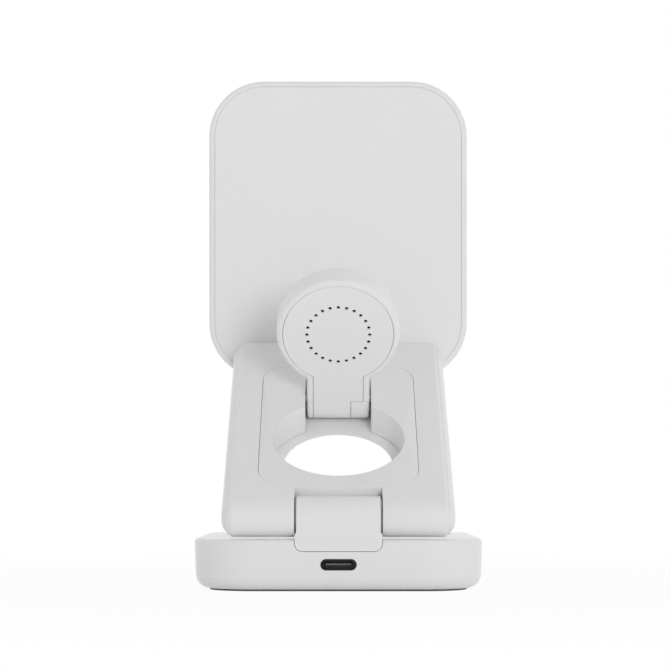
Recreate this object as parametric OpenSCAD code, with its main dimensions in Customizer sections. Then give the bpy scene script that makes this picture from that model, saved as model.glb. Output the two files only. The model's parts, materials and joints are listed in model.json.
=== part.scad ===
// Three-in-one wireless charger that folds flat: base, arm, phone pad and watch puck.
// Millimetres, +Z up. The origin is the middle of the base's footprint, on the table.
// The power inlet is in the rear, at -Y. A phone rests on the pad's +Y side.
// It is drawn open, as it stands on a desk.

/* [Panels] */
// Width of the base and of the phone pad
panel_w = 72; // [68:1:90]
// Depth of the base, and height of the phone pad
panel_d = 83; // [78:1:100]
// Radius of the panels' corners, seen square on
panel_r = 15.4; // [12:0.2:20]
// Outer wall of the base and of the pad
panel_wall = 1.5; // [1.3:0.1:1.8]
// Width of the seams between fixed pieces
seam = 0.12; // [0.08:0.02:0.2]

/* [Base] */
// Height of the base above its foot pad
base_h = 12.3; // [11.8:0.1:14]
// Thickness of the foot pad
foot_h = 0.4; // [0.3:0.05:0.8]
// Rounding of the base's upper edge
base_round_top = 1; // [0.6:0.1:1.4]
// Rounding of the base's lower edge
base_round_low = 3.5; // [2.5:0.1:3.8]
// How far the base's side wall leans in on its way down
base_lean = 0.3; // [0:0.05:0.5]
// Radius of the earbud charging surface
earbud_r = 21; // [18:0.5:24]
// Distance of the earbud surface's middle from the front edge
earbud_from_front = 29; // [27:0.5:32]

/* [Power inlet] */
// Width of the inlet in the rear wall
inlet_w = 8.9; // [8.6:0.1:9.2]
// Height of the inlet in the rear wall
inlet_h = 2.8; // [2.6:0.1:3]
// Height of the inlet's middle above the table
inlet_z = 6.6; // [6.4:0.1:6.6]
// Depth of the receptacle
receptacle_d = 7.3; // [6.5:0.1:8]
// Distance of the receptacle's mouth behind the wall
receptacle_set = 0.8; // [0.4:0.1:1.2]

/* [Arm] */
// Width of the arm
arm_w = 57.4; // [54:0.2:62]
// Thickness of the arm, and diameter of its round ends
arm_t = 10; // [9.6:0.1:10.6]
// Angle of the arm above the table
arm_angle = 35; // [30:1:45]
// Width of the bands at the arm's sides
arm_band = 1.35; // [1.2:0.05:2]
// How much further in the side bands lie than the arm's faces
band_step = 0.6; // [0.4:0.05:0.8]
// Radius that domes the side bands
band_round = 3.1; // [2.5:0.1:3.4]
// Rounding of the edges between the arm's faces and the side bands
arm_round = 1.5; // [1:0.05:1.5]
// Width of the seam between the arm's cover and the side bands
band_seam = 0.06; // [0.04:0.01:0.1]
// Wall of the arm's cover and of its tray
arm_wall = 1.6; // [1.4:0.1:1.8]
// Corner radius of the panel let into the arm's upper face
inset_r = 6; // [4:0.5:8]
// Thickness of the inset panel
inset_t = 0.8; // [0.6:0.1:1]
// Panel left beside the puck's hole
inset_side_land = 3.15; // [2.4:0.05:5]
// Cover left between the lower slot and the inset panel
inset_low_land = 1.7; // [1.2:0.1:2]
// Panel left between the stem's notch and the inset panel's upper end
inset_high_land = 6.2; // [4:0.1:7]

/* [Hinges] */
// Width of the two hinge knuckles
knuckle_w = 20.6; // [18:0.2:22]
// How much wider a knuckle's neck is on each side
knuckle_flare = 0.4; // [0:0.05:0.4]
// Depth that a knuckle is let into its panel
knuckle_in = 2.85; // [2.5:0.05:3]
// Space between the arm and the base when folded
base_gap = 0.5; // [0.4:0.05:0.8]
// Space between the arm and the pad when folded
pad_gap = 0.35; // [0.3:0.05:0.6]
// Side play of a knuckle in the arm's slot
knuckle_play = 0.55; // [0.5:0.05:0.7]
// Radius of the steel pins in the knuckles
pin_r = 1.5; // [1.2:0.1:1.6]
// Length of each friction sleeve
sleeve_len = 9; // [7:0.5:11]

/* [Watch puck] */
// Radius of the puck
puck_r = 16; // [15:0.1:16.2]
// Thickness of the puck
puck_t = 7.7; // [7.4:0.1:7.7]
// Distance from the puck's pin to its back
puck_back = 5; // [4.8:0.05:5.1]
// Distance from the puck's pin to the middle of its disc
stem_reach = 22.9; // [22:0.1:24]
// Width of the puck's stem
stem_w = 16.4; // [15:0.1:17]
// Distance of the puck's pin from the arm's lower pivot
puck_pin_s = 50.2; // [49.5:0.1:51]
// Space round the puck in the arm's hole
hole_play = 0.9; // [0.6:0.1:1.2]
// Width of the ledge at the bottom of the hole
ledge_w = 2.9; // [2.5:0.1:4]
// Number of vent holes in the puck's back
vents = 24; // [12:2:28]
// Radius of one vent hole
vent_r = 0.45; // [0.3:0.05:0.6]
// Radius of the ring of vents
vent_ring_r = 8.15; // [7:0.05:10]

/* [Phone pad] */
// Thickness of the pad
pad_t = 8.5; // [8:0.1:10]
// Angle between the arm and the pad
pad_angle = 59.4; // [50:0.2:70]
// Rounding of the pad's rear edge
pad_round_rear = 1; // [0.6:0.1:1.4]
// Rounding of the pad's front edge
pad_round_front = 2.4; // [1.5:0.1:2.6]
// Number of magnets in the ring
magnets = 18; // [12:2:24]
// Outer radius of the magnet ring
magnet_ring_r = 27.8; // [27:0.1:28.5]

/* [Hidden] */
$fn = 64;

// Overlap that keeps two cuts from sharing a face, and the straight left in a round end
cut = 0.5;
straight = 0.02;

// Colours
white_abs = "#f0eff0";
white_gloss = "#f7f7f7";
silicone_grey = "#8c8c8e";
silicone_white = "#e6e6e6";
board_green = "#1f5a3c";
steel = "#b9bbbd";
nickel = "#c8c6c0";
copper = "#b5683a";
ferrite_black = "#2c2c2e";
black_nickel = "#26262a";
tongue_grey = "#b4b4b6";

// Hinges: each axis lies as far inside the panel's end as its knuckle's radius
hinge_r = arm_t / 2;
pivot_span = panel_d - arm_t;
base_top = foot_h + base_h;
axis_low_y = hinge_r - panel_d / 2;
axis_low_z = base_top + base_gap + hinge_r;
slot_w = knuckle_w + 2 * knuckle_play;
slot_play = 0.3;
knuckle_round = 1.9;
knuckle_flare_h = 1.5;
knuckle_shelf = 1.2;
knuckle_screw_x = knuckle_w / 3;
sleeve_start = slot_w / 2 + 1;
sleeve_play = 0.05;
sleeve_wall = 0.8;
sleeve_r = pin_r + sleeve_play + sleeve_wall;
pin_len = 2 * (sleeve_start + sleeve_len);

// Base
base_inner_low = foot_h + panel_wall;
base_inner_top = base_top - panel_wall;
foot_inset = base_round_low + base_lean + 0.1;
plate_inset = foot_inset + 0.3;
surface_t = 0.8;
earbud_y = panel_d / 2 - earbud_from_front;
earbud_coil_r = earbud_r - 3;
coil_t = 0.8;
ferrite_t = 0.5;
ferrite_margin = 1;
boss_r = 2.4;
boss_inset = 11;
screw_r = 0.8;
screw_play = 0.1;
screw_head_r = 1.7;
screw_head_t = 0.8;
screw_len = 5;

// Circuit boards
board_t = 1;
board_margin = 2;
board_post_r = 1.5;
board_post_in = 3.5;
chip_gap = 4;
power_chip = [7, 7, 1];
small_chip = [5, 4, 0.8];
choke = [6, 6, 2.4];
pad_board = [34, 26];

// Power inlet
shell_wall = 0.3;
shell_w = inlet_w + shell_wall;
shell_h = inlet_h + 2 * shell_wall;
tongue_w = 6.7;
tongue_t = 0.7;
tongue_len = receptacle_d - 1.2;
tongue_y = -panel_d / 2 + panel_wall + receptacle_set + receptacle_d - shell_wall - tongue_len;

// Arm: the floor of its tray is also the ledge that the stowed puck rests on
arm_floor_t = 1.9;
ledge_lip = 0.4;
ledge_flare_w = 0.3;
floor_n = arm_floor_t - hinge_r;
under_cover = hinge_r - arm_wall;
core_w = arm_w - 2 * arm_band;
band_r = hinge_r - band_step;
hole_r = puck_r + hole_play;
hole_s = puck_pin_s - stem_reach;
hole_wall = 1.2;
skirt_t = 1.2;

// Watch puck: the pin lies nearer to the charging face than to the back
puck_front = puck_t - puck_back;
puck_rest = 0.2;
puck_rim = 1.55;
puck_edge = 1.4;
stem_edge = 0.8;
puck_cover_t = 1.2;
puck_corner = [3.4, 2.3];
puck_pin_n = floor_n + puck_rest + puck_back;
puck_pin_r = 1.2;
puck_pin_play = 0.05;
puck_pin_hold = 3;
puck_pin_boss = puck_pin_r + 1.2;
dish_t = 1.6;
dish_r = puck_r - 2.4;
dish_hollow = 0.5;
puck_shelf_t = 1;
puck_shelf_z = dish_t + puck_shelf_t - puck_front;
watch_magnet_r = 4;
watch_magnet_t = 2;
watch_coil_r = dish_r - 2.6;
notch_w = stem_w + 1;
notch_end_s = puck_pin_s + puck_back + slot_play;

// Inset panel
inset_low_s = hinge_r + slot_play + inset_low_land;
inset_high_s = notch_end_s + inset_high_land;
inset_len = inset_high_s - inset_low_s;
inset_middle_s = (inset_low_s + inset_high_s) / 2;
inset_w = 2 * (hole_r + inset_side_land);
inset_seat = 1.4;

// Phone pad, in its own frame: Y runs up the pad and Z towards the rear
pad_rear_z = -hinge_r - pad_gap;
pad_front_z = pad_rear_z - pad_t;
pad_middle_y = panel_d / 2 - hinge_r;
pad_floor_z = pad_front_z + surface_t + 0.8;
pad_ledge = 1;
pad_face_inset = pad_round_front + 0.4;
phone_coil_t = 1;
phone_ferrite_t = 0.6;
magnet_t = 1.8;
magnet_w = 4.8;
magnet_gap_deg = 1.5;
line_magnet = [6, 5];
line_magnet_gap = 2.5;
ring_groove = 0.3;
phone_coil_r = magnet_ring_r - magnet_w - 1.3;

// A rectangle with round corners
module round_rect(w, d, r) {
    square([w - 2 * r, d], center = true);
    square([w, d - 2 * r], center = true);
    for (x = [-1, 1], y = [-1, 1])
        translate([x * (w / 2 - r), y * (d / 2 - r)]) circle(r);
}

// A flat plate with round corners, its underside at zero
module plate(w, d, r, t) {
    linear_extrude(t) round_rect(w, d, r);
}

// Section of a slab's edge: X runs from 0 to the outside, Y is the height. The side leans
// in on its way down, and both edges are rounded.
module edge_section(reach, h, low, high, lean = 0) {
    foot = reach - lean;
    intersection() {
        square([reach, h]);
        union() {
            polygon([[0, low], [foot, low], [reach, h - high], [0, h - high]]);
            if (low > 0) {
                square([foot - low, low]);
                translate([foot - low, low]) circle(low);
            }
            if (high > 0) {
                translate([0, h - high]) square([reach - high, high]);
                translate([reach - high, h - high]) circle(high);
            }
        }
    }
}

// A slab with round corners and rounded lower and upper edges
module slab(w, d, r, h, low, high, lean = 0) {
    side_x = w - 2 * r;
    side_y = d - 2 * r;
    for (c = [[1, 1, 0], [-1, 1, 90], [-1, -1, 180], [1, -1, 270]])
        translate([c[0] * side_x / 2, c[1] * side_y / 2, 0])
            rotate(c[2]) rotate_extrude(angle = 90) edge_section(r, h, low, high, lean);
    for (turn = [0, 180]) {
        if (side_y > 0)
            rotate(turn) translate([side_x / 2, 0, 0]) rotate([90, 0, 0])
                linear_extrude(side_y, center = true) edge_section(r, h, low, high, lean);
        if (side_x > 0)
            rotate(turn + 90) translate([side_y / 2, 0, 0]) rotate([90, 0, 0])
                linear_extrude(side_x, center = true) edge_section(r, h, low, high, lean);
    }
    if (side_x > 0 && side_y > 0)
        translate([-side_x / 2, -side_y / 2, 0]) cube([side_x, side_y, h]);
}

// A bar along X of the given width, from an outline drawn in Y and Z
module along_x(w) {
    translate([-w / 2, 0, 0]) rotate([90, 0, 90]) linear_extrude(w) children();
}

// A rod along X, centred
module rod(r, len) {
    rotate([0, 90, 0]) cylinder(r = r, h = len, center = true);
}

// A ring lying flat, its underside at zero
module ring(outer, inner, t) {
    linear_extrude(t) difference() {
        circle(outer);
        circle(inner);
    }
}

// A screw pointing down, the top of its head at zero
module screw(len) {
    translate([0, 0, -screw_head_t]) cylinder(r = screw_head_r, h = screw_head_t);
    translate([0, 0, -len]) cylinder(r = screw_r, h = len - screw_head_t);
}

// Frames: Y runs along the arm, up the pad or up the puck's stem
module on_arm() {
    translate([0, axis_low_y, axis_low_z]) rotate([arm_angle, 0, 0]) children();
}
module on_pad() {
    on_arm() translate([0, pivot_span, 0]) rotate([pad_angle, 0, 0]) children();
}
module on_puck() {
    on_arm() translate([0, puck_pin_s, puck_pin_n]) rotate([90, 0, 0]) children();
}

// A knuckle seen from the rear, grown all round by the given amount. Its neck is wider than
// its barrel and ends in round corners.
module knuckle_outline(drop, grow) {
    end = drop + knuckle_in + grow;
    barrel = knuckle_w / 2 + grow;
    neck = barrel + knuckle_flare;
    r = knuckle_round + grow;
    polygon([[-barrel, 2 * hinge_r], [-barrel, knuckle_flare_h - hinge_r], [-neck, -hinge_r],
        [-neck, r - end], [neck, r - end], [neck, -hinge_r], [barrel, knuckle_flare_h - hinge_r],
        [barrel, 2 * hinge_r]]);
    translate([r - neck, -end]) square([2 * (neck - r), 2 * r]);
    for (side = [-1, 1]) translate([side * (neck - r), r - end]) circle(r);
}

// A hinge knuckle about the X axis: its neck goes down into a panel, flush with its end
module knuckle(drop) {
    end = drop + knuckle_in;
    difference() {
        intersection() {
            along_x(knuckle_w + 2 * knuckle_flare) {
                circle(hinge_r);
                translate([-hinge_r, -end]) square([2 * hinge_r, end]);
            }
            rotate([90, 0, 0]) linear_extrude(4 * hinge_r, center = true) knuckle_outline(drop, 0);
        }
        rod(pin_r, knuckle_w + 2 * cut);
        knuckle_screw_places() translate([0, 0, -end - cut])
            cylinder(r = screw_r, h = screw_len - knuckle_shelf + cut);
    }
}

module knuckle_screw_places() {
    for (side = [-1, 1]) translate([side * knuckle_screw_x, 0, 0]) children();
}

// The notch in a panel for a knuckle, and the seat that carries it
module knuckle_notch(drop) {
    translate([0, hinge_r + seam, 0]) rotate([90, 0, 0])
        linear_extrude(2 * hinge_r + seam + cut) knuckle_outline(drop, seam);
}
module knuckle_seat(drop) {
    deep = drop + knuckle_in + seam + knuckle_shelf;
    half = knuckle_w / 2 + knuckle_flare + seam + knuckle_shelf;
    translate([-half, -hinge_r, -deep])
        cube([2 * half, 2 * hinge_r + seam + knuckle_shelf, deep - drop]);
}
module knuckle_screw_holes(drop) {
    deep = drop + knuckle_in + seam + knuckle_shelf + cut;
    knuckle_screw_places() translate([0, 0, -deep])
        cylinder(r = screw_r + screw_play, h = 2 * knuckle_in);
}
module knuckle_screws(drop) {
    deep = drop + knuckle_in + seam + knuckle_shelf;
    knuckle_screw_places() translate([0, 0, -deep]) mirror([0, 0, 1])
        translate([0, 0, screw_head_t]) screw(screw_len);
}

// Places of the four screws that hold the base together
module base_boss_places() {
    for (x = [-1, 1], y = [-1, 1])
        translate([x * (panel_w / 2 - boss_inset), y * (panel_d / 2 - boss_inset), 0]) children();
}

module base_housing() {
    color(white_abs)
        difference() {
            union() {
                difference() {
                    translate([0, 0, foot_h])
                        slab(panel_w, panel_d, panel_r, base_h, base_round_low, base_round_top,
                            base_lean);
                    difference() {
                        translate([0, 0, base_inner_low])
                            plate(panel_w - 2 * panel_wall, panel_d - 2 * panel_wall,
                                panel_r - panel_wall, base_inner_top - base_inner_low);
                        translate([0, axis_low_y, axis_low_z]) knuckle_seat(base_gap + hinge_r);
                    }
                }
                base_boss_places() translate([0, 0, base_inner_low])
                    cylinder(r = boss_r, h = base_inner_top - base_inner_low + cut);
            }
            translate([0, 0, foot_h - cut])
                plate(panel_w - 2 * plate_inset, panel_d - 2 * plate_inset,
                    panel_r - plate_inset, panel_wall + cut);
            base_boss_places() translate([0, 0, foot_h]) cylinder(r = screw_r, h = screw_len);
            translate([0, axis_low_y, axis_low_z]) {
                knuckle_notch(base_gap + hinge_r);
                knuckle_screw_holes(base_gap + hinge_r);
            }
            translate([0, -panel_d / 2 + panel_wall + cut, inlet_z]) rotate([90, 0, 0])
                plate(inlet_w, inlet_h, (inlet_h - straight) / 2, panel_wall + 2 * cut);
            translate([0, earbud_y, base_top - surface_t])
                cylinder(r = earbud_r + seam, h = surface_t + cut);
        }
}

module base_bottom_plate() {
    color(white_abs)
        difference() {
            translate([0, 0, foot_h])
                plate(panel_w - 2 * plate_inset - 2 * seam, panel_d - 2 * plate_inset - 2 * seam,
                    panel_r - plate_inset - seam, panel_wall);
            base_boss_places() translate([0, 0, foot_h - cut]) {
                cylinder(r = screw_r + screw_play, h = panel_wall + 2 * cut);
                cylinder(r = screw_head_r + screw_play, h = screw_head_t + cut);
            }
        }
}

module base_foot_pad() {
    color(silicone_grey)
        plate(panel_w - 2 * foot_inset, panel_d - 2 * foot_inset, panel_r - foot_inset, foot_h);
}

module base_screws() {
    color(steel)
        base_boss_places() translate([0, 0, foot_h]) mirror([0, 0, 1]) screw(screw_len);
}

// The board lies under the receptacle, on four short posts
module base_circuit_board() {
    board_w = panel_w - 2 * (boss_inset + boss_r + board_margin);
    board_d = panel_d - 2 * (panel_wall + boss_inset - board_margin);
    board_top = inlet_z - shell_h / 2;
    rear = -panel_d / 2 + panel_wall + board_margin / 2;
    chips_y = rear + receptacle_d + chip_gap;
    color(board_green) {
        translate([-board_w / 2, rear, board_top - board_t]) cube([board_w, board_d, board_t]);
        for (side = [-1, 1], y = [board_post_in, board_d - board_post_in])
            translate([side * (board_w / 2 - board_post_in), rear + y, base_inner_low])
                cylinder(r = board_post_r, h = board_top - board_t - base_inner_low);
        translate([-power_chip[0], chips_y, board_top]) cube(power_chip);
        translate([chip_gap, chips_y, board_top]) cube(choke);
        translate([-2 * small_chip[0], chips_y + power_chip[1] + chip_gap, board_top]) cube(small_chip);
    }
}

module usb_c_shell() {
    color(black_nickel)
        translate([0, -panel_d / 2 + panel_wall + receptacle_set, inlet_z]) rotate([-90, 0, 0])
            difference() {
                plate(shell_w, shell_h, (shell_h - straight) / 2, receptacle_d);
                translate([0, 0, -cut])
                    plate(shell_w - 2 * shell_wall, shell_h - 2 * shell_wall,
                        (shell_h - straight) / 2 - shell_wall, receptacle_d - shell_wall + cut);
            }
}

module usb_c_tongue() {
    color(tongue_grey)
        translate([-tongue_w / 2, tongue_y, inlet_z - tongue_t / 2])
            cube([tongue_w, tongue_len, tongue_t]);
}

module earbud_charging_surface() {
    color(silicone_white)
        translate([0, earbud_y, base_top - surface_t]) cylinder(r = earbud_r, h = surface_t);
}

module earbud_coil() {
    color(copper)
        translate([0, earbud_y, base_inner_top - coil_t]) ring(earbud_coil_r, earbud_coil_r / 2, coil_t);
}

module earbud_ferrite() {
    color(ferrite_black)
        translate([0, earbud_y, base_inner_top - coil_t - ferrite_t])
            cylinder(r = earbud_coil_r + ferrite_margin, h = ferrite_t);
}

module lower_knuckle() {
    color(white_abs)
        translate([0, axis_low_y, axis_low_z]) knuckle(base_gap + hinge_r);
}

module lower_knuckle_screws() {
    color(steel)
        translate([0, axis_low_y, axis_low_z]) knuckle_screws(base_gap + hinge_r);
}

module lower_hinge_pin() {
    color(steel) on_arm() rod(pin_r, pin_len);
}

// Outline of the arm from the side: a bar with full round ends
module arm_outline(r) {
    circle(r);
    translate([pivot_span, 0]) circle(r);
    translate([0, -r]) square([pivot_span, 2 * r]);
}

// The slot that a knuckle turns in, about its own axis
module knuckle_slot() {
    r = hinge_r + slot_play;
    along_x(slot_w) translate([-r, -r]) square(2 * r);
}
module knuckle_slots() {
    for (s = [0, pivot_span]) translate([0, s, 0]) knuckle_slot();
}

// The hole for the puck and the notch for its stem, grown by the given amount
module hole_outline(grow) {
    translate([0, hole_s]) circle(hole_r + grow);
    translate([-notch_w / 2 - grow, hole_s])
        square([notch_w + 2 * grow, notch_end_s + grow - hole_s]);
}

// The arm between its side bands, with rounded edges all along them
module arm_core(w) {
    translate([-w / 2, pivot_span / 2, 0]) rotate([90, 0, 90])
        slab(pivot_span + arm_t, arm_t, hinge_r, w, arm_round, arm_round);
}

// A band along one side: the outermost slice of a bar that is rounded more than the band is
// wide, so it is a dome whose rim lies a step lower than the faces
module arm_side_band(side) {
    translate([side * core_w / 2, pivot_span / 2, 0]) rotate([90, 0, side * 90])
        slab(pivot_span + 2 * band_r, 2 * band_r, band_r, arm_band, 0, band_round);
}

// The tray: both side bands, the floor with the puck's ledge, and the bars round the pins.
// Below its thin lip the ledge flares out, so that it doesn't narrow the view through the hole.
module arm_housing() {
    color(white_abs)
        on_arm() difference() {
            union() {
                for (side = [-1, 1]) arm_side_band(side);
                intersection() {
                    arm_core(core_w);
                    translate([-core_w / 2, seam, -hinge_r])
                        cube([core_w, pivot_span - 2 * seam, arm_floor_t]);
                }
                for (s = [0, pivot_span]) translate([0, s, 0]) rod(under_cover - seam, core_w);
            }
            knuckle_slots();
            translate([0, hole_s, -hinge_r]) {
                translate([0, 0, -cut]) cylinder(r = hole_r - ledge_w, h = arm_t);
                cylinder(r1 = hole_r - ledge_flare_w, r2 = hole_r - ledge_w,
                    h = arm_floor_t - ledge_lip);
                translate([0, 0, -cut]) cylinder(r = hole_r - ledge_flare_w, h = cut);
            }
            for (s = [0, pivot_span]) translate([0, s, 0]) rod(sleeve_r, pin_len);
        }
}

// A wall that closes the arm behind a knuckle's slot, from the cover down to the floor
module slot_skirt() {
    translate([-slot_w / 2 - skirt_t, hinge_r + slot_play, floor_n + seam])
        cube([slot_w + 2 * skirt_t, skirt_t, under_cover + arm_wall / 2 - floor_n - seam]);
}

module arm_cover() {
    color(white_abs)
        on_arm() difference() {
            union() {
                difference() {
                    arm_core(core_w - 2 * band_seam);
                    along_x(core_w) {
                        arm_outline(under_cover);
                        translate([0, -hinge_r - cut]) square([pivot_span, hinge_r]);
                    }
                }
                slot_skirt();
                translate([0, pivot_span, 0]) mirror([0, 1, 0]) slot_skirt();
            }
            knuckle_slots();
            translate([0, inset_middle_s, hinge_r - inset_t])
                plate(inset_w + 2 * seam, inset_len + 2 * seam, inset_r + seam, inset_t + cut);
            translate([0, inset_middle_s, under_cover - cut])
                plate(inset_w - 2 * inset_seat, inset_len - 2 * inset_seat, inset_r - inset_seat, arm_t);
        }
}

// The panel round the hole, in one piece with the hole's wall and the bosses of the puck's pin
module arm_inset_panel() {
    color(white_abs)
        on_arm() difference() {
            union() {
                translate([0, inset_middle_s, hinge_r - inset_t])
                    plate(inset_w, inset_len, inset_r, inset_t);
                translate([0, 0, floor_n + seam])
                    linear_extrude(hinge_r - floor_n - seam) hole_outline(hole_wall);
                translate([0, puck_pin_s, puck_pin_n]) rod(puck_pin_boss, notch_w + 2 * puck_pin_hold);
            }
            translate([0, 0, floor_n]) linear_extrude(arm_t) hole_outline(0);
            translate([0, puck_pin_s, puck_pin_n])
                rod(puck_pin_r + puck_pin_play, notch_w + 2 * puck_pin_hold + cut);
        }
}

// A pair of steel sleeves that grip the pin and hold the panel where it is put
module friction_sleeves() {
    for (side = [-1, 1])
        translate([side * (sleeve_start + sleeve_len / 2), 0, 0]) difference() {
            rod(sleeve_r, sleeve_len);
            rod(pin_r + sleeve_play, sleeve_len + 2 * cut);
        }
}

module lower_friction_sleeves() {
    color(steel) on_arm() friction_sleeves();
}

module upper_friction_sleeves() {
    color(steel) on_arm() translate([0, pivot_span, 0]) friction_sleeves();
}

// The stem's end, round about the pin, cut off flat at the charging face
module puck_tail() {
    intersection() {
        rotate([0, 90, 0]) translate([0, 0, -stem_w / 2])
            rotate_extrude() edge_section(puck_back, stem_w, stem_edge, stem_edge);
        translate([-stem_w, -puck_back - cut, -puck_front])
            cube([2 * stem_w, puck_back + cut, puck_t + cut]);
    }
}

// The back cover's shape, shrunk by the given amount and raised above its outside: a keyhole
// over disc and stem that wraps round the stem's end, with one corner left to the housing
module puck_cover_shape(shrink, above) {
    inset = puck_rim + shrink;
    half = stem_w / 2 - inset;
    difference() {
        union() {
            translate([0, 0, puck_back - puck_cover_t]) linear_extrude(puck_cover_t + above) {
                translate([0, stem_reach]) circle(puck_r - inset);
                translate([-half, 0]) square([2 * half, stem_reach]);
            }
            along_x(2 * half) intersection() {
                difference() {
                    circle(puck_back + above);
                    circle(puck_back - puck_cover_t);
                }
                translate([-2 * puck_back, 0]) square(2 * puck_back);
            }
        }
        translate([puck_corner[0] - shrink, -2 * puck_back, -cut])
            cube([stem_w, 2 * puck_back + puck_corner[1] + shrink, 2 * puck_back]);
    }
}

module puck_housing() {
    color(white_abs)
        on_puck() difference() {
            union() {
                translate([0, stem_reach, -puck_front])
                    rotate_extrude() edge_section(puck_r, puck_t, puck_edge, puck_edge);
                translate([0, stem_reach, 0]) rotate([90, 0, 0]) linear_extrude(stem_reach)
                    translate([0, puck_back - puck_t / 2]) round_rect(stem_w, puck_t, stem_edge);
                puck_tail();
            }
            puck_cover_shape(0, cut);
            translate([0, stem_reach, puck_shelf_z])
                cylinder(r = puck_r - 2 * puck_rim, h = puck_t);
            translate([0, stem_reach, -puck_front - cut]) cylinder(r = dish_r + seam, h = dish_t + cut);
            rod(puck_pin_r, stem_w + 2 * cut);
        }
}

module puck_back_cover() {
    color(white_abs)
        on_puck() difference() {
            puck_cover_shape(seam, 0);
            for (k = [0 : vents - 1])
                translate([0, stem_reach]) rotate(k * 360 / vents) translate([vent_ring_r, 0])
                    cylinder(r = vent_r, h = puck_t);
        }
}

// The face that the watch clings to, slightly hollow
module watch_charging_dish() {
    bowl_r = (dish_r * dish_r + dish_hollow * dish_hollow) / (2 * dish_hollow);
    color(white_gloss)
        on_puck() translate([0, stem_reach, -puck_front]) rotate_extrude() difference() {
            square([dish_r, dish_t]);
            translate([0, dish_hollow - bowl_r]) circle(bowl_r, $fn = 256);
        }
}

module watch_coil() {
    color(copper)
        on_puck() translate([0, stem_reach, puck_shelf_z])
            ring(watch_coil_r, watch_magnet_r + ferrite_margin, coil_t);
}

module watch_ferrite() {
    color(ferrite_black)
        on_puck() translate([0, stem_reach, puck_shelf_z + coil_t])
            ring(watch_coil_r + ferrite_margin, watch_magnet_r + ferrite_margin / 2, ferrite_t);
}

module watch_magnet() {
    color(nickel)
        on_puck() translate([0, stem_reach, puck_shelf_z]) cylinder(r = watch_magnet_r, h = watch_magnet_t);
}

module puck_hinge_pin() {
    color(steel) on_puck() rod(puck_pin_r, notch_w + 2 * puck_pin_hold);
}

module pad_housing() {
    rim = panel_wall;
    shelf = panel_wall + pad_ledge;
    color(white_abs)
        on_pad() difference() {
            translate([0, pad_middle_y, pad_front_z])
                slab(panel_w, panel_d, panel_r, pad_t, pad_round_front, pad_round_rear);
            difference() {
                translate([0, pad_middle_y, 0]) {
                    translate([0, 0, pad_rear_z - panel_wall])
                        plate(panel_w - 2 * rim, panel_d - 2 * rim, panel_r - rim, panel_wall + cut);
                    translate([0, 0, pad_floor_z])
                        plate(panel_w - 2 * shelf, panel_d - 2 * shelf, panel_r - shelf,
                            pad_rear_z - pad_floor_z);
                }
                knuckle_seat(pad_gap + hinge_r);
            }
            knuckle_notch(pad_gap + hinge_r);
            knuckle_screw_holes(pad_gap + hinge_r);
            translate([0, pad_middle_y, pad_front_z - cut])
                plate(panel_w - 2 * pad_face_inset, panel_d - 2 * pad_face_inset,
                    panel_r - pad_face_inset, surface_t + cut);
        }
}

module pad_back_panel() {
    inset = panel_wall + seam;
    color(white_abs)
        on_pad() difference() {
            translate([0, pad_middle_y, pad_rear_z - panel_wall])
                plate(panel_w - 2 * inset, panel_d - 2 * inset, panel_r - inset, panel_wall);
            translate([0, seam, 0]) knuckle_seat(pad_gap + hinge_r - cut);
        }
}

// The soft face that the phone clings to, with a fine ring over the magnets
module pad_charging_face() {
    inset = pad_face_inset + seam;
    color(silicone_white)
        on_pad() translate([0, pad_middle_y, pad_front_z]) difference() {
            plate(panel_w - 2 * inset, panel_d - 2 * inset, panel_r - inset, surface_t);
            translate([0, 0, -cut])
                ring(magnet_ring_r + ring_groove, magnet_ring_r - ring_groove, ring_groove + cut);
        }
}

module phone_magnets() {
    step = 360 / magnets;
    color(nickel)
        on_pad() translate([0, pad_middle_y, pad_floor_z]) {
            for (k = [0 : magnets - 1])
                rotate(k * step) rotate_extrude(angle = step - magnet_gap_deg)
                    translate([magnet_ring_r - magnet_w, 0]) square([magnet_w, magnet_t]);
            translate([-line_magnet[0] / 2, -magnet_ring_r - line_magnet_gap - line_magnet[1], 0])
                cube([line_magnet[0], line_magnet[1], magnet_t]);
        }
}

module phone_coil() {
    color(copper)
        on_pad() translate([0, pad_middle_y, pad_floor_z])
            ring(phone_coil_r, phone_coil_r / 2, phone_coil_t);
}

module phone_ferrite() {
    color(ferrite_black)
        on_pad() translate([0, pad_middle_y, pad_floor_z + phone_coil_t])
            cylinder(r = phone_coil_r + ferrite_margin / 2, h = phone_ferrite_t);
}

module pad_circuit_board() {
    color(board_green)
        on_pad() translate([0, pad_middle_y, pad_floor_z + phone_coil_t + phone_ferrite_t]) {
            translate([-pad_board[0] / 2, -pad_board[1] / 2, 0])
                cube([pad_board[0], pad_board[1], board_t]);
            translate([-power_chip[0] - chip_gap, -chip_gap, board_t]) cube(power_chip);
            translate([chip_gap, 0, board_t]) cube(small_chip);
        }
}

module upper_knuckle() {
    color(white_abs) on_pad() knuckle(pad_gap + hinge_r);
}

module upper_knuckle_screws() {
    color(steel) on_pad() knuckle_screws(pad_gap + hinge_r);
}

module upper_hinge_pin() {
    color(steel) on_pad() rod(pin_r, pin_len);
}

base_housing();
base_bottom_plate();
base_foot_pad();
base_screws();
base_circuit_board();
usb_c_shell();
usb_c_tongue();
earbud_charging_surface();
earbud_coil();
earbud_ferrite();
lower_knuckle();
lower_knuckle_screws();
lower_hinge_pin();
arm_housing();
arm_cover();
arm_inset_panel();
lower_friction_sleeves();
upper_friction_sleeves();
puck_housing();
puck_back_cover();
watch_charging_dish();
watch_coil();
watch_ferrite();
watch_magnet();
puck_hinge_pin();
pad_housing();
pad_back_panel();
pad_charging_face();
phone_magnets();
phone_coil();
phone_ferrite();
pad_circuit_board();
upper_knuckle();
upper_knuckle_screws();
upper_hinge_pin();
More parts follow.
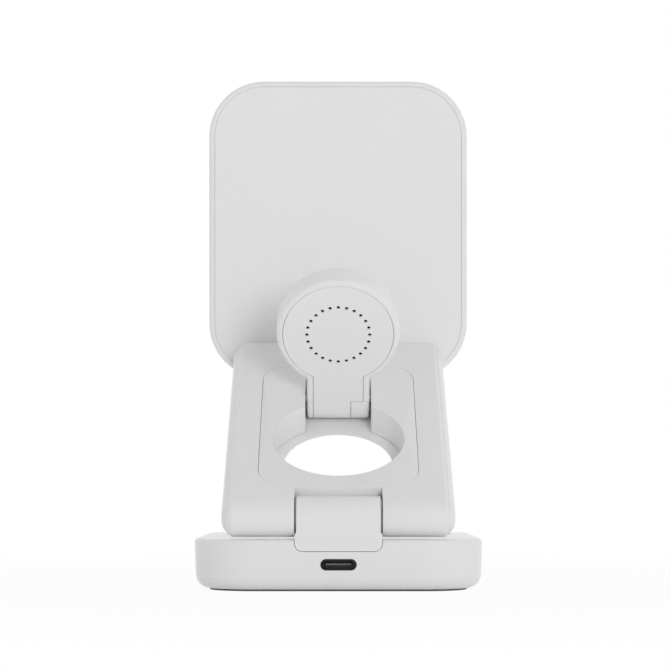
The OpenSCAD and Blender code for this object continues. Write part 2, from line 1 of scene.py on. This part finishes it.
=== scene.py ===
"""Looks of a white folding charger for a phone, a watch and earbuds, seen from behind.

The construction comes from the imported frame. This script gives its surfaces their finish,
softens their edges, winds its coils, adds the thin trim in its seams and openings, sets it on a
pale floor in soft studio light, and looks at it from the photograph's place.
"""

import json
import math

import bpy
import numpy as np
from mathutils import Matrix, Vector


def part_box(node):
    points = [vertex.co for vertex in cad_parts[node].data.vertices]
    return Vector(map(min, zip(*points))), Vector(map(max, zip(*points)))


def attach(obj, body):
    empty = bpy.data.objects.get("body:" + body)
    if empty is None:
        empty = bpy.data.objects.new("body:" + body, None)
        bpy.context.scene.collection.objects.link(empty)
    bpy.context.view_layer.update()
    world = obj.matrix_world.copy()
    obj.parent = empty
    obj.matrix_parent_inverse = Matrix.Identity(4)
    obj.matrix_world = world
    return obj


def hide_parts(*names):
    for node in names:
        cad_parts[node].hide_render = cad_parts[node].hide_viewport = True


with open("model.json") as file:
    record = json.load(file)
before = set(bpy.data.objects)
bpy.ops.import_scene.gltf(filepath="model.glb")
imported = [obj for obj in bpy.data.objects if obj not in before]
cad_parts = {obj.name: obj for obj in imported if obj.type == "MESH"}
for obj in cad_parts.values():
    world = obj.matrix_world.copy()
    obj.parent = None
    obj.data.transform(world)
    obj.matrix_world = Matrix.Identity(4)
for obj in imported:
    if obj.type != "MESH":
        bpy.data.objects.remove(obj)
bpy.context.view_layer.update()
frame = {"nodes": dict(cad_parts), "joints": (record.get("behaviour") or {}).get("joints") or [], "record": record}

MM = 0.001


def linear(code):
    """A linear RGBA colour from an sRGB hex code such as "#f0eff0"."""
    srgb = np.array([int(code[k:k + 2], 16) for k in (1, 3, 5)]) / 255
    rgb = np.where(srgb <= 0.04045, srgb / 12.92, ((srgb + 0.055) / 1.055) ** 2.4)
    return (*rgb.tolist(), 1.0)


# Camera: its place, tilt and lens come from a least-squares fit to the photograph's hinges,
# corners and edges
CAMERA_PLACE = (-0.85 * MM, -538.5 * MM, 26.8 * MM)
CAMERA_PITCH = math.radians(4.12)
FOCAL_PIXELS = 2033.5
PHOTO_PIXELS = 670
SENSOR = 36.0
# How near and how far it sees, in metres
NEAREST = 0.01
FARTHEST = 20


def add_camera():
    """A long lens low behind the charger, tilted up a little."""
    data = bpy.data.cameras.new("camera")
    data.sensor_width = SENSOR
    data.lens = FOCAL_PIXELS * SENSOR / PHOTO_PIXELS
    data.clip_start = NEAREST
    data.clip_end = FARTHEST
    camera = bpy.data.objects.new("camera", data)
    camera.location = CAMERA_PLACE
    camera.rotation_euler = (math.pi / 2 + CAMERA_PITCH, 0, 0)
    bpy.context.scene.collection.objects.link(camera)
    bpy.context.scene.camera = camera


def add_node(tree, kind, settings=None, links=None):
    """A shader node with its settings; links feed its inputs from other nodes' outputs."""
    node = tree.nodes.new(kind)
    for key, value in (settings or {}).items():
        if key in node.inputs:
            node.inputs[key].default_value = value
        else:
            setattr(node, key, value)
    for key, source in (links or {}).items():
        tree.links.new(source, node.inputs[key])
    return node


def start_material(name, **settings):
    """A node material with its Principled shader wired to the output, and its place output."""
    material = bpy.data.materials.new(name)
    material.use_nodes = True
    tree = material.node_tree
    tree.nodes.clear()
    shader = add_node(tree, "ShaderNodeBsdfPrincipled", settings)
    add_node(tree, "ShaderNodeOutputMaterial", links={"Surface": shader.outputs["BSDF"]})
    place = add_node(tree, "ShaderNodeTexCoord").outputs["Object"]
    return material, tree, shader, place


# Cloudiness of a moulding's colour, and how far its gloss varies from place to place
CLOUD_MM = 18
GLOSS_PATCH_MM = 6
GLOSS_SPREAD = 0.005


def moulded(name, shade, deep_shade, roughness, grain_mm, depth_mm, ior):
    """A moulded or pressed material: an even colour with a faint cloudiness, a gloss that varies
    a little from patch to patch, and the fine grain that its mould leaves."""
    material, tree, shader, place = start_material(name, IOR=ior)
    cloud = add_node(tree, "ShaderNodeTexNoise", {"Scale": 1 / (CLOUD_MM * MM), "Detail": 2.0},
                     {"Vector": place})
    tint = add_node(tree, "ShaderNodeMix", {"data_type": "RGBA"}, {"Factor": cloud.outputs["Fac"]})
    tint.inputs["A"].default_value = linear(shade)
    tint.inputs["B"].default_value = linear(deep_shade)
    patch = add_node(tree, "ShaderNodeTexNoise", {"Scale": 1 / (GLOSS_PATCH_MM * MM), "Detail": 3.0},
                     {"Vector": place})
    gloss = add_node(tree, "ShaderNodeMapRange",
                     {"To Min": roughness - GLOSS_SPREAD, "To Max": roughness + GLOSS_SPREAD},
                     {"Value": patch.outputs["Fac"]})
    grain = add_node(tree, "ShaderNodeTexNoise", {"Scale": 1 / (grain_mm * MM), "Detail": 3.0},
                     {"Vector": place})
    bump = add_node(tree, "ShaderNodeBump", {"Distance": depth_mm * MM},
                    {"Height": grain.outputs["Fac"]})
    tree.links.new(tint.outputs["Result"], shader.inputs["Base Color"])
    tree.links.new(gloss.outputs["Result"], shader.inputs["Roughness"])
    tree.links.new(bump.outputs["Normal"], shader.inputs["Normal"])
    return material


# Satin shell plastic, spark-eroded mould: soft, even shading with no sharp reflection
WHITE = moulded("abs_polycarbonate_satin", "#f7f6f7", "#f4f3f4",
                roughness=0.28, grain_mm=0.25, depth_mm=0.002, ior=1.53)
# Watch face, polished mould: a clear reflection on a slightly hollow white face
GLOSS = moulded("polycarbonate_polished", "#f6f6f6", "#f4f4f5",
                roughness=0.1, grain_mm=2.0, depth_mm=0.001, ior=1.58)
# Charging faces, soft-touch rubber: dull and a shade greyer than the shells round them
SOFT_WHITE = moulded("silicone_soft_touch", "#e4e4e4", "#e0e0e1",
                     roughness=0.62, grain_mm=0.15, depth_mm=0.01, ior=1.42)
# Foot pad, moulded rubber in mid grey, whose grey also paints the shade of the thin dark line between the base and
# the table
SOFT_GREY_AND_SHADE = moulded("silicone_foot_and_shade", "#6a6a6c", "#5f5f62",
                    roughness=0.7, grain_mm=0.2, depth_mm=0.02, ior=1.42)
# Tongue in the power inlet, moulded: dark and dull, so that the plate's edge in it stands out
TONGUE = moulded("liquid_crystal_polymer", "#3e3e40", "#38383a",
                 roughness=0.5, grain_mm=0.2, depth_mm=0.005, ior=1.6)
# Sheet behind each coil, pressed powder in a film: dull and nearly black
FERRITE = moulded("ferrite_sheet", "#2c2c2e", "#242426",
                  roughness=0.7, grain_mm=0.2, depth_mm=0.01, ior=1.5)
# Dark discs in the puck's vents: painted shade, which makes each vent a dark dot
PAINTED_VENT_SHADE = moulded("painted_vent_shade", "#1b1b1d", "#141416",
               roughness=0.9, grain_mm=0.15, depth_mm=0.05, ior=1.4)

# Circuit board: real copper tracks are finer, and these are as wide as they need to show.
# The lacquer stands proud over them.
TRACK_MM = 0.25
TRACK_PITCH_MM = 1.6
TRACK_RUN_MM = 7.0
MASK_HEIGHT_MM = 0.03


def solder_mask(name, shade, track_shade):
    """Lacquered board: a green film, proud and lighter over rows of copper tracks."""
    material, tree, shader, place = start_material(name, Roughness=0.3, IOR=1.55)
    tracks = add_node(
        tree, "ShaderNodeTexBrick",
        {"Color1": linear(shade), "Color2": linear(shade), "Mortar": linear(track_shade),
         "Scale": 1 / MM, "Mortar Size": TRACK_MM / 2, "Brick Width": TRACK_RUN_MM,
         "Row Height": TRACK_PITCH_MM},
        {"Vector": place})
    bump = add_node(tree, "ShaderNodeBump", {"Distance": MASK_HEIGHT_MM * MM},
                    {"Height": tracks.outputs["Fac"]})
    tree.links.new(tracks.outputs["Color"], shader.inputs["Base Color"])
    tree.links.new(bump.outputs["Normal"], shader.inputs["Normal"])
    return material


BOARD = solder_mask("solder_mask_board", "#1f5a3c", "#2f7a50")

# Patches of a metal's uneven gloss, and how far it varies
PATCH_MM = 0.5
PATCH_SPREAD = 0.05


def metal(name, shade, roughness, lacquer=0.0):
    """Turned, plated or lacquered metal with a faint unevenness in its gloss."""
    material, tree, shader, place = start_material(name, Metallic=1.0)
    shader.inputs["Base Color"].default_value = linear(shade)
    shader.inputs["Coat Weight"].default_value = lacquer
    patch = add_node(tree, "ShaderNodeTexNoise", {"Scale": 1 / (PATCH_MM * MM), "Detail": 2.0},
                     {"Vector": place})
    gloss = add_node(tree, "ShaderNodeMapRange",
                     {"To Min": roughness - PATCH_SPREAD, "To Max": roughness + PATCH_SPREAD},
                     {"Value": patch.outputs["Fac"]})
    tree.links.new(gloss.outputs["Result"], shader.inputs["Roughness"])
    return material


# Pins, screws, sleeves and washers, turned: a plain grey shine
STEEL = metal("steel_turned", "#b9bbbd", roughness=0.35)
# Magnets and the plate in the inlet's tongue, nickel plated: smoother and warmer than steel
NICKEL = metal("nickel_plate", "#c8c6c0", roughness=0.25)
# Shell and sleeve of the power inlet, black nickel plated: a dark rim round a black slot
BLACK_NICKEL = metal("black_nickel_plate", "#57575b", roughness=0.35)
# Contacts on the tongue, flash gold plated: yellow glints on a dark ground
GOLD = metal("gold_plate", "#d8b46a", roughness=0.25)
# Coil wire, copper under a clear lacquer that gives it a wet shine
COPPER = metal("enamelled_copper_wire", "#b5683a", roughness=0.3, lacquer=0.6)

SLOT_MATERIALS = {
    "white_abs": WHITE, "white_gloss": GLOSS, "silicone_white": SOFT_WHITE,
    "silicone_grey": SOFT_GREY_AND_SHADE, "circuit_board": BOARD, "steel": STEEL, "nickel": NICKEL,
    "copper_coil": COPPER, "ferrite": FERRITE, "black_nickel": BLACK_NICKEL, "grey_plastic": TONGUE,
}

# Radius of the outer pieces' moulded edges in millimetres: a mould leaves none of them sharp.
# It is small on the arm's cover and tray, where the seam between them is narrow, and large on
# the inlet's tongue, whose tip is rounded for the plug.
EDGE_RADII = {
    "base_housing": 0.15, "base_bottom_plate": 0.15, "base_foot_pad": 0.12,
    "earbud_charging_surface": 0.15, "lower_knuckle": 0.12, "upper_knuckle": 0.12,
    "arm_housing": 0.02, "arm_cover": 0.02, "arm_inset_panel": 0.08,
    "puck_housing": 0.08, "puck_back_cover": 0.06, "watch_charging_dish": 0.1,
    "pad_housing": 0.06, "pad_back_panel": 0.06, "pad_charging_face": 0.15,
    "usb_c_shell": 0.05, "usb_c_tongue": 0.32,
}
SHARP_ANGLE = math.radians(35)
EDGE_SEGMENTS = 3
# The CAD meshes are loose triangles, and corners nearer than this become one
WELD_MM = 0.002


def finish_cad_nodes():
    """Every CAD node takes the material of its slot, and the outer ones take rounded edges."""
    slots = {part["node"]: part["material_slot"] for part in frame["record"]["subparts"]}
    for name, node in frame["nodes"].items():
        node.data.materials.clear()
        node.data.materials.append(SLOT_MATERIALS[slots[name]])
    for name, radius in EDGE_RADII.items():
        node = frame["nodes"][name]
        weld = node.modifiers.new("weld", "WELD")
        weld.merge_threshold = WELD_MM * MM
        bevel = node.modifiers.new("round_edges", "BEVEL")
        bevel.width = radius * MM
        bevel.segments = EDGE_SEGMENTS
        bevel.limit_method = "ANGLE"
        bevel.angle_limit = SHARP_ANGLE
        bevel.harden_normals = True


def loop_faces(rings, sides, spans):
    """Quads between rings of points that are numbered ring by ring, over so many spans."""
    ring, side = np.meshgrid(np.arange(spans), np.arange(sides), indexing="ij")
    onward = (ring + 1) % rings
    after = (side + 1) % sides
    corners = [ring * sides + side, onward * sides + side,
               onward * sides + after, ring * sides + after]
    return np.stack(corners, axis=-1).reshape(-1, 4)


def tube_faces(rings, sides, tubes=1):
    """Faces of so many tubes, numbered one after the other: quads between the rings of each, and
    a many-sided face over each of its ends."""
    quads = loop_faces(rings, sides, rings - 1)
    start = np.arange(sides)
    end = (rings - 1) * sides + start[::-1]
    faces = []
    for first in range(0, tubes * rings * sides, rings * sides):
        faces += (first + quads).tolist() + [(first + start).tolist(), (first + end).tolist()]
    return faces


def add_piece(name, vertices, faces, material, body):
    """A smooth mesh piece from points in metres that rides on a body."""
    mesh = bpy.data.meshes.new(name)
    mesh.from_pydata(vertices.tolist(), [], faces)
    mesh.shade_smooth()
    mesh.materials.append(material)
    piece = bpy.data.objects.new(name, mesh)
    bpy.context.scene.collection.objects.link(piece)
    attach(piece, body)
    return piece


X, Y, Z = np.eye(3)


def node_points(node):
    """The corners of a CAD node's mesh as rows of three."""
    mesh = frame["nodes"][node].data
    points = np.empty(3 * len(mesh.vertices))
    mesh.vertices.foreach_get("co", points)
    return points.reshape(-1, 3)


def ring_frame(node):
    """The middle, axis, inner and outer radius and thickness of a flat CAD ring that lies along
    X. Its axis is the direction in which its points spread least."""
    points = node_points(node)
    middle = (points.min(0) + points.max(0)) / 2
    axis = np.linalg.svd(points - points.mean(0), full_matrices=False)[2][2]
    offset = points - middle
    radius = np.hypot(offset @ X, offset @ np.cross(axis, X))
    return middle, axis, radius.min(), radius.max(), np.ptp(offset @ axis)


# Coils: the wire's diameter is this share of its room, so that each turn shows
WIRE_SHARE = 0.96
TURN_STEPS = 72
WIRE_SIDES = 8


def add_winding(name, node, body):
    """A flat spiral of round wire in place of a CAD coil.

    The wire is as thick as the ring. Its middle runs on a spiral whose radius grows by one wire
    a turn, r(a) = inner + wire / 2 + wire * a / (2 pi), and its section is a circle across it:
    the radius gains cos(b) and the height sin(b), times half the wire.
    """
    middle, axis, inner, outer, thick = ring_frame(node)
    turns = int((outer - inner) / thick)
    wire = (outer - inner) / (turns + 1)
    turn = np.linspace(0, 2 * math.pi * turns, TURN_STEPS * turns + 1)[:, None]
    around = np.linspace(0, 2 * math.pi, WIRE_SIDES, endpoint=False)[None, :]
    spiral = inner + wire / 2 + wire * turn / (2 * math.pi)
    radius = spiral + WIRE_SHARE * wire / 2 * np.cos(around)
    height = WIRE_SHARE * thick / 2 * np.sin(around) + 0 * turn
    points = (middle + (radius * np.cos(turn))[..., None] * X
              + (radius * np.sin(turn))[..., None] * np.cross(axis, X) + height[..., None] * axis)
    faces = tube_faces(*points.shape[:2])
    winding = add_piece(name, points.reshape(-1, 3), faces, COPPER, body)
    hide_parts(node)


# Contacts of the power inlet: twelve in a row on each face of the tongue
CONTACTS = 12
CONTACT_PITCH = 0.5 * MM
CONTACT_WIDTH = 0.28 * MM
CONTACT_HEIGHT = 0.03 * MM
CONTACT_LENGTH = 4.0 * MM
CONTACT_FROM_TIP = 0.5 * MM
# Where a contact's first and last rings lie on the way from -1 to 1: there they are small
CONTACT_END = 0.98
CONTACT_RINGS = 5
CONTACT_SIDES = 8


def add_contacts():
    """Gold strips on both faces of the inlet's tongue.

    Each is a closed tube along Y with an elliptic section, whose size falls to its ends by
    sqrt(1 - t^4) as t runs from nearly -1 to nearly 1.
    """
    low, high = (np.array(corner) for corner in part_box("usb_c_tongue"))
    middle = (low + high) / 2
    row = (np.arange(CONTACTS) - (CONTACTS - 1) / 2) * CONTACT_PITCH
    across, top = np.meshgrid(row, [low[2], high[2]], indexing="ij")
    t = np.linspace(-CONTACT_END, CONTACT_END, CONTACT_RINGS)[:, None]
    around = np.linspace(0, 2 * math.pi, CONTACT_SIDES, endpoint=False)[None, :]
    taper = np.sqrt(1 - t ** 4)
    x = CONTACT_WIDTH / 2 * taper * np.cos(around)
    y = low[1] + CONTACT_FROM_TIP + CONTACT_LENGTH * (1 + t) / 2 + 0 * around
    z = CONTACT_HEIGHT * taper * np.sin(around)
    one = np.stack([x, y, z], axis=-1).reshape(-1, 3)
    shift = (middle[0] + across.ravel())[:, None] * X + top.ravel()[:, None] * Z
    vertices = (one[None] + shift[:, None]).reshape(-1, 3)
    faces = tube_faces(CONTACT_RINGS, CONTACT_SIDES, len(shift))
    add_piece("usb_c_contacts", vertices, faces, GOLD, "base")


# Closed bars: steps round the loop and points round the bar
LOOP_STEPS = 128
LOOP_SIDES = 16


def squared(wave):
    """A sine or cosine with its sides drawn out: its sign times the root of its size."""
    return np.sign(wave) * np.sqrt(np.abs(wave))


def add_loop(name, places, lengths, section, material, body):
    """Closed bars round a rounded rectangle, or round a circle where both straights are zero.

    places holds the middle of each bar and its two directions. lengths holds half the straight
    along each direction, a and b, and the corners' radius r. section holds half the bar's width
    outwards and half its depth across. The path is a * sign(cos u) + r * cos u along the first
    direction and b * sign(sin u) + r * sin u along the second. The section is a squared oval,
    whose width goes by the root of cos v and whose depth goes by the root of sin v.
    """
    a, b, r = lengths
    wide, deep = section
    u = 2 * math.pi * (np.arange(LOOP_STEPS)[:, None] + 0.5) / LOOP_STEPS
    v = 2 * math.pi * np.arange(LOOP_SIDES)[None, :] / LOOP_SIDES
    out = r + wide * squared(np.cos(v))
    first = (a * np.sign(np.cos(u)) + out * np.cos(u))[..., None]
    second = (b * np.sign(np.sin(u)) + out * np.sin(u))[..., None]
    third = (deep * squared(np.sin(v)) + 0 * u)[..., None]
    faces = loop_faces(LOOP_STEPS, LOOP_SIDES, LOOP_STEPS)
    bars = [(middle + first * one + second * two + third * np.cross(one, two)).reshape(-1, 3)
            for middle, one, two in places]
    all_faces = np.concatenate([faces + k * len(bars[0]) for k in range(len(bars))])
    add_piece(name, np.concatenate(bars), all_faces.tolist(), material, body)


# Sleeve in the power inlet: its wall, its play in the hole, and how far it ends behind the
# base's rear face
MOUTH_WALL = 0.2 * MM
MOUTH_PLAY = 0.03 * MM
MOUTH_BEHIND = 0.1 * MM
INLET_SIZE = (8.9 * MM, 2.8 * MM)


def add_inlet_mouth():
    """The sleeve that carries the inlet's shell forward through the base's wall."""
    low, high = (np.array(corner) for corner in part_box("usb_c_shell"))
    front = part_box("base_housing")[0][1] + MOUTH_BEHIND
    middle = np.array([0, (front + low[1]) / 2, (low[2] + high[2]) / 2])
    r = INLET_SIZE[1] / 2 - MOUTH_PLAY - MOUTH_WALL / 2
    add_loop("usb_c_mouth", [(middle, X, Z)], ((INLET_SIZE[0] - INLET_SIZE[1]) / 2, 0, r),
             (MOUTH_WALL / 2, (low[1] - front) / 2), BLACK_NICKEL, "base")


# Plate in the inlet's tongue: a loop so tight that its hollow can't be seen, a little ahead of
# the tongue's tip
PLATE_SIZE = (6.2 * MM, 0.36 * MM)
PLATE_HOLLOW = 0.01 * MM
PLATE_DEPTH = 1.0 * MM
PLATE_AHEAD = 0.1 * MM


def add_mid_plate():
    """The plate inside the inlet's tongue, whose edge shows on the tip as a light line."""
    low, high = (np.array(corner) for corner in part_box("usb_c_tongue"))
    middle = (low + high) / 2
    middle[1] = low[1] - PLATE_AHEAD + PLATE_DEPTH / 2
    wide = (PLATE_SIZE[1] / 2 - PLATE_HOLLOW) / 2
    add_loop("usb_c_mid_plate", [(middle, X, Z)],
             ((PLATE_SIZE[0] - PLATE_SIZE[1]) / 2, 0, PLATE_HOLLOW + wide),
             (wide, PLATE_DEPTH / 2), NICKEL, "base")


# Both hinges, the way from the lower to the upper, and the way out of the arm's cover
JOINTS = {joint["name"]: joint for joint in frame["joints"]}
LOW_AXIS = np.array(JOINTS["arm_fold"]["pos_m"])
HIGH_AXIS = np.array(JOINTS["pad_fold"]["pos_m"])
ARM_WAY = (HIGH_AXIS - LOW_AXIS) / np.linalg.norm(HIGH_AXIS - LOW_AXIS)
ARM_OUT = np.cross(X, ARM_WAY)

# Washers in the gap between the side of a knuckle and the side of its slot
KNUCKLE_HALF = 10.3 * MM
SLOT_HALF = 10.85 * MM
WASHER_PLAY = 0.05 * MM
WASHER_BORE = 1.55 * MM
WASHER_RADIUS = 4.3 * MM


def add_washers(name, axis, body):
    """A steel washer on the hinge pin at each side of a knuckle."""
    side = (KNUCKLE_HALF + SLOT_HALF) / 2
    add_loop(name, [(axis - side * X, Y, Z), (axis + side * X, Y, Z)],
             (0, 0, (WASHER_RADIUS + WASHER_BORE) / 2),
             ((WASHER_RADIUS - WASHER_BORE) / 2, (SLOT_HALF - KNUCKLE_HALF) / 2 - WASHER_PLAY),
             STEEL, body)


# Glue in the V between the arm's rounded cover and its side bands: half its size, how far in
# from the cover's side it lies, and how far its top is from the line between the hinges
ARM_BEAD = (0.5 * MM, 0.2 * MM)
ARM_BEAD_IN = 0.12 * MM
ARM_BEAD_TOP = 4.37 * MM


def add_arm_beads():
    """White glue that nearly fills the seam between the arm's cover and each side band."""
    side = (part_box("arm_cover")[1][0] - ARM_BEAD_IN) * X
    middle = (LOW_AXIS + HIGH_AXIS) / 2
    half = np.linalg.norm(HIGH_AXIS - LOW_AXIS) / 2
    places = [(middle - side, ARM_WAY, ARM_OUT), (middle + side, ARM_WAY, ARM_OUT)]
    add_loop("arm_glue_beads", places, (half, 0, ARM_BEAD_TOP - ARM_BEAD[0]), ARM_BEAD,
             WHITE, "arm")


# Glue in the seam round the pad's back panel: the seam's width, the panel's corner radius, half
# the bead's size, and how far below the panel's face its top lies
PAD_SEAM = 0.12 * MM
PAD_PANEL_RADIUS = 13.78 * MM
PAD_BEAD = (0.1 * MM, 0.3 * MM)
PAD_BEAD_BELOW = 0.3 * MM


def add_pad_bead():
    """White glue in the seam of the pad's back panel, just below its face. At the end of its fold
    the pad lies flat on the arm, which gives the pad's tilt here."""
    turn = math.radians(180 - JOINTS["pad_fold"]["range_deg"][1])
    up = math.cos(turn) * ARM_WAY + math.sin(turn) * ARM_OUT
    out = np.cross(X, up)
    points = node_points("pad_back_panel")
    spans = [((points @ way).min(), (points @ way).max()) for way in (X, up, out)]
    middle = (sum(spans[0]) / 2 * X + sum(spans[1]) / 2 * up
              + (spans[2][1] - PAD_BEAD_BELOW - PAD_BEAD[1]) * out)
    straights = [(high - low) / 2 - PAD_PANEL_RADIUS for low, high in spans[:2]]
    add_loop("pad_glue_bead", [(middle, X, up)], (*straights, PAD_PANEL_RADIUS + PAD_SEAM / 2),
             PAD_BEAD, WHITE, "phone_pad")


# Dark discs in the vents of the puck's cover, painted shade for the vents' depth: the ring of
# their middles, their radius, how far below the cover's face they lie, and their thickness
VENTS = 24
VENT_RING = 8.15 * MM
SHADE_DISC_RADIUS = 0.46 * MM
SHADE_DISC_BELOW = 0.5 * MM
SHADE_DISC_DEPTH = 0.1 * MM
SHADE_DISC_SIDES = 16


def add_painted_vent_shade():
    """Painted shade in each vent: a dark flat disc at r * (cos a, sin a) round the vent's own
    middle, with the vents' middles on a ring about the disc's axis."""
    middle, axis = ring_frame("watch_coil")[:2]
    out = axis * -np.sign(axis[1])
    top = ((node_points("puck_back_cover") - middle) @ out).max()
    place = 2 * math.pi * np.arange(VENTS)[:, None, None] / VENTS
    around = 2 * math.pi * np.arange(SHADE_DISC_SIDES)[None, None, :] / SHADE_DISC_SIDES
    level = top - SHADE_DISC_BELOW
    depth = np.array([level, level - SHADE_DISC_DEPTH])[None, :, None]
    first = VENT_RING * np.cos(place) + SHADE_DISC_RADIUS * np.cos(around) + 0 * depth
    second = VENT_RING * np.sin(place) + SHADE_DISC_RADIUS * np.sin(around) + 0 * depth
    third = depth + 0 * place + 0 * around
    points = (middle + first[..., None] * X + second[..., None] * np.cross(out, X)
              + third[..., None] * out)
    faces = tube_faces(2, SHADE_DISC_SIDES, VENTS)
    add_piece("puck_vent_painted_shade", points.reshape(-1, 3), faces, PAINTED_VENT_SHADE, "watch_puck")


def seen_directly(tree):
    """A factor of one for camera, glossy and transmission rays, and none for the light."""
    path = add_node(tree, "ShaderNodeLightPath")
    total = path.outputs["Is Camera Ray"]
    for ray in ("Is Glossy Ray", "Is Transmission Ray"):
        add = add_node(tree, "ShaderNodeMath", {"operation": "ADD", "use_clamp": True})
        tree.links.new(total, add.inputs[0])
        tree.links.new(path.outputs[ray], add.inputs[1])
        total = add.outputs[0]
    return total


def mix_shaders(tree, factor, first, second):
    """The output of a shader that goes from the first to the second by the factor."""
    mix = add_node(tree, "ShaderNodeMixShader")
    for socket, source in zip(mix.inputs, (factor, first, second)):
        tree.links.new(source, socket)
    return mix.outputs[0]


# Light from all round, and how much more comes from the bright backdrop ahead of the camera
FILL_LEVEL = 0.477
BACKDROP_LEVEL = 0.97
AHEAD = (0, 1, 0)


def add_world():
    """White to the eye and to reflections. For the light it is an even fill, which grows with the
    cosine of the angle to the direction ahead."""
    world = bpy.data.worlds.new("studio")
    bpy.context.scene.world = world
    world.use_nodes = True
    tree = world.node_tree
    tree.nodes.clear()
    direction = add_node(tree, "ShaderNodeTexCoord").outputs["Generated"]
    ahead = add_node(tree, "ShaderNodeVectorMath", {"operation": "DOT_PRODUCT"})
    tree.links.new(direction, ahead.inputs[0])
    ahead.inputs[1].default_value = AHEAD
    level = add_node(
        tree, "ShaderNodeMapRange", {"To Min": FILL_LEVEL, "To Max": FILL_LEVEL + BACKDROP_LEVEL},
        {"Value": ahead.outputs["Value"]})
    fill = add_node(tree, "ShaderNodeBackground", {"Color": (1, 1, 1, 1)},
                    {"Strength": level.outputs["Result"]})
    white = add_node(tree, "ShaderNodeBackground", {"Color": (1, 1, 1, 1), "Strength": 1.0})
    surface = mix_shaders(tree, seen_directly(tree), fill.outputs[0], white.outputs[0])
    add_node(tree, "ShaderNodeOutputWorld", links={"Surface": surface})


# Floor: half its width, and the share of plain white in what the eye sees of it. A little shadow
# shows near the charger, and between two distances the floor melts into the white behind it.
FLOOR_HALF = 3.0
WHITE_NEAR = 0.93
SHADOW_REACH = (0.06, 0.25)


def add_floor():
    """A wide pale floor that the camera sees as white, apart from the charger's shadow."""
    mesh = bpy.data.meshes.new("floor")
    corners = [(x * FLOOR_HALF, y * FLOOR_HALF, 0) for x, y in ((-1, -1), (1, -1), (1, 1), (-1, 1))]
    mesh.from_pydata(corners, [], [(0, 1, 2, 3)])
    floor = bpy.data.objects.new("floor", mesh)
    bpy.context.scene.collection.objects.link(floor)
    material, tree, shader, place = start_material("floor_paper", Roughness=0.9)
    shader.inputs["Base Color"].default_value = linear("#f6f6f6")
    shader.inputs["Specular IOR Level"].default_value = 0.0
    glow = add_node(tree, "ShaderNodeEmission", {"Strength": 1.0})
    reach = add_node(tree, "ShaderNodeVectorMath", {"operation": "LENGTH"})
    tree.links.new(place, reach.inputs[0])
    share = add_node(
        tree, "ShaderNodeMapRange",
        {"interpolation_type": "SMOOTHSTEP", "From Min": SHADOW_REACH[0],
         "From Max": SHADOW_REACH[1], "To Min": WHITE_NEAR, "To Max": 1.0},
        {"Value": reach.outputs["Value"]})
    seen = add_node(tree, "ShaderNodeMath", {"operation": "MULTIPLY"})
    tree.links.new(seen_directly(tree), seen.inputs[0])
    tree.links.new(share.outputs["Result"], seen.inputs[1])
    output = next(n for n in tree.nodes if n.type == "OUTPUT_MATERIAL")
    surface = mix_shaders(tree, seen.outputs[0], shader.outputs[0], glow.outputs[0])
    tree.links.new(surface, output.inputs["Surface"])
    mesh.materials.append(material)


# Key lamp: low behind the camera's right shoulder, aimed at the charger's middle
KEY_PLACE = (0.45, -1.45, 0.18)
KEY_TARGET = (0, 0, 0.07)
KEY_SIZE = 0.45
KEY_WATTS = 6.2


def add_key():
    """A square soft box. Gloss shows the white studio and not the lamp."""
    data = bpy.data.lights.new("key", "AREA")
    data.shape = "SQUARE"
    data.size = KEY_SIZE
    data.energy = KEY_WATTS
    light = bpy.data.objects.new("key", data)
    light.location = KEY_PLACE
    light.visible_glossy = False
    aim = np.array(KEY_TARGET) - np.array(KEY_PLACE)
    yaw = math.atan2(aim[1], aim[0])
    fall = math.atan2(-aim[2], math.hypot(aim[0], aim[1]))
    light.rotation_euler = (math.pi / 2 - fall, 0, yaw - math.pi / 2)
    bpy.context.scene.collection.objects.link(light)


add_camera()
finish_cad_nodes()
add_winding("earbud_winding", "earbud_coil", "base")
add_winding("watch_winding", "watch_coil", "watch_puck")
add_winding("phone_winding", "phone_coil", "phone_pad")
add_contacts()
add_inlet_mouth()
add_mid_plate()
add_washers("lower_hinge_washers", LOW_AXIS, "base")
add_washers("upper_hinge_washers", HIGH_AXIS, "phone_pad")
add_arm_beads()
add_pad_bead()
add_painted_vent_shade()
add_world()
add_floor()
add_key()

bpy.context.scene.view_settings.view_transform = "Standard"
